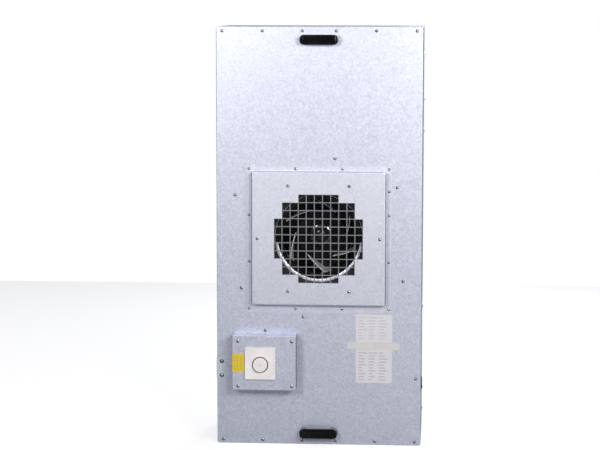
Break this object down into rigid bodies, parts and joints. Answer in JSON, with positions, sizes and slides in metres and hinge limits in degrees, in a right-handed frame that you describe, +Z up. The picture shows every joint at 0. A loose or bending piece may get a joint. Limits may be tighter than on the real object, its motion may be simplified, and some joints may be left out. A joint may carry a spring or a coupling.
{
  "type": "fan filter unit",
  "caption": "Ceiling fan filter unit: galvanised housing with a stepped inlet grille, centrifugal fan, speed control box, carrying handles and a framed HEPA filter.",
  "frame": {"origin": "middle of the end face that the unit stands on", "axes": "+Z up along the long side, +X across to the right seen from the intake side, +Y from the intake side to the filter side"},
  "size_m": [0.5808, 0.3852, 1.175],
  "materials": {
    "galvanised": "galvanised sheet with a fine zinc spangle",
    "impeller_metal": "bare sheet, semi-bright",
    "motor_black": "black enamel",
    "bright_steel": "zinc-plated, bright",
    "white_plastic": "smooth white moulding",
    "black_plastic": "glossy black moulding",
    "regulator_plastic": "moulded case",
    "terminal_plastic": "moulded case",
    "capacitor_plastic": "moulded case",
    "rubber": "soft black rubber",
    "foam_rubber": "closed-cell foam strip",
    "paper": "white paper",
    "tape": "translucent tape",
    "yellow_film": "plain yellow film",
    "rail_aluminium": "extruded, satin",
    "filter_paper": "pleated glass-fibre paper",
    "white_paint": "white powder coat"
  },
  "bodies": {
    "housing": {"housing_shell": "galvanised", "end_wall_top": "galvanised", "end_wall_bottom": "galvanised", "inlet_pan": "galvanised", "inlet_ring": "galvanised", "motor_bearings": "bright_steel", "motor_stator": "motor_black", "motor_spider": "galvanised", "motor_screws": "bright_steel", "fan_posts": "galvanised", "fan_post_screws": "bright_steel", "control_box": "galvanised", "control_box_cover": "galvanised", "dial_plate": "white_plastic", "speed_regulator": "regulator_plastic", "terminal_block": "terminal_plastic", "run_capacitor": "capacitor_plastic", "cable_grommet": "rubber", "handle_top": "black_plastic", "handle_bottom": "black_plastic", "corner_strap": "galvanised", "plate_screws": "bright_steel", "pan_rivets": "bright_steel", "pan_screws": "bright_steel", "ring_rivets": "bright_steel", "box_screws": "bright_steel", "strap_screws": "bright_steel", "earth_screw": "bright_steel", "upper_label": "paper", "lower_label": "paper", "clear_tape": "tape", "yellow_sticker": "yellow_film", "filter_gasket": "foam_rubber", "filter_rail_left": "rail_aluminium", "filter_rail_right": "rail_aluminium", "filter_rail_top": "rail_aluminium", "filter_rail_bottom": "rail_aluminium", "filter_media": "filter_paper", "filter_guard": "white_paint", "filter_clips": "galvanised", "clip_rivets": "bright_steel", "side_plug": "black_plastic"},
    "impeller": {"impeller_blades": "impeller_metal", "impeller_back_plate": "impeller_metal", "impeller_shroud": "impeller_metal", "motor_rotor": "motor_black", "rotor_cap": "motor_black", "motor_shaft": "bright_steel"},
    "knob": {"speed_knob": "white_plastic", "regulator_shaft": "bright_steel"}
  },
  "joints": [
    {"name": "impeller_spin", "type": "hinge", "parent": "housing", "child": "impeller", "pos_m": [0, 0, 0.5875], "axis": [0, 1, 0], "continuous": true},
    {"name": "knob_turn", "type": "hinge", "parent": "housing", "child": "knob", "pos_m": [-0.1605, 0, 0.236], "axis": [0, 1, 0], "range_deg": [0, 270]}
  ]
}
